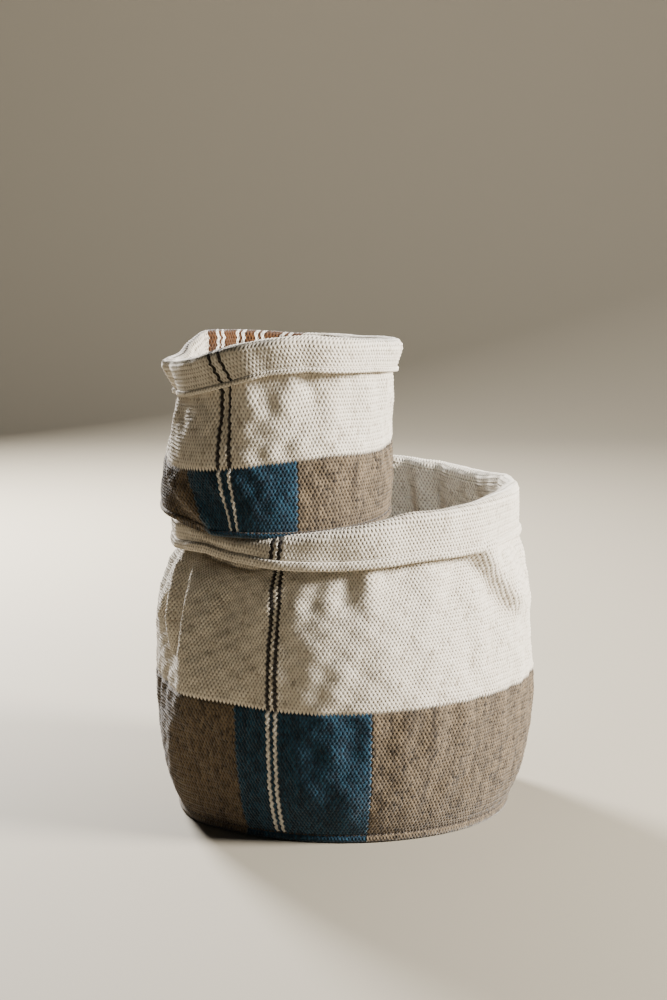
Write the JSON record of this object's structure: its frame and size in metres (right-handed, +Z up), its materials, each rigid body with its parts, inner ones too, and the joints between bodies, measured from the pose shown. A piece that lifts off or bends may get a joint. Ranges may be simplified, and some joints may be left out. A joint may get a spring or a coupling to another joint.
{
  "type": "handwoven storage basket pair",
  "caption": "Matching pair of soft handwoven storage baskets with turned-down cuffs and colour blocks; the small one stands on the large one's rim and lifts off.",
  "frame": {"origin": "on the floor under the centre of the large basket, which is also the middle of the pair's footprint", "axes": "+Z up, -Y the front with the blue blocks, +X to the right seen from the front"},
  "size_m": [0.356, 0.356, 0.451],
  "materials": {
    "cream_cloth": "weft-faced cotton weave, matt",
    "blue_cloth": "weft-faced cotton weave, matt",
    "brown_cloth": "weft-faced cotton weave, matt",
    "rust_cloth": "weft-faced cotton weave, matt",
    "black_yarn": "dyed cotton yarn, matt",
    "white_yarn": "natural cotton yarn, matt",
    "cream_thread": "heavy cotton thread, matt",
    "brown_thread": "heavy cotton thread, matt"
  },
  "bodies": {
    "big_basket": {"big_base_disc": "brown_cloth", "big_base_seam": "brown_cloth", "big_base_seam_blue": "blue_cloth", "big_base_seam_thread": "brown_thread", "big_black_stripes": "black_yarn", "big_blue_block": "blue_cloth", "big_brown_block": "brown_cloth", "big_cream_panel_under_rust": "cream_cloth", "big_cream_wall": "cream_cloth", "big_cuff": "cream_cloth", "big_cuff_black_stripes": "black_yarn", "big_cuff_hem": "cream_cloth", "big_cuff_hem_thread": "cream_thread", "big_rust_block": "rust_cloth", "big_rust_block_stripes": "white_yarn", "big_side_seam": "cream_cloth", "big_white_stripes": "white_yarn"},
    "small_basket": {"small_base_disc": "brown_cloth", "small_base_seam": "brown_cloth", "small_base_seam_blue": "blue_cloth", "small_base_seam_thread": "brown_thread", "small_black_stripes": "black_yarn", "small_blue_block": "blue_cloth", "small_brown_block": "brown_cloth", "small_cream_panel_under_rust": "cream_cloth", "small_cream_wall": "cream_cloth", "small_cuff": "cream_cloth", "small_cuff_black_stripes": "black_yarn", "small_cuff_hem": "cream_cloth", "small_cuff_hem_thread": "cream_thread", "small_rust_block": "rust_cloth", "small_rust_block_stripes": "white_yarn", "small_side_seam": "cream_cloth", "small_white_stripes": "white_yarn"}
  },
  "joints": [
    {"name": "small_basket_lift", "type": "slide", "parent": "big_basket", "child": "small_basket", "axis": [0, 0, 1], "range_m": [0, 0.25]}
  ]
}
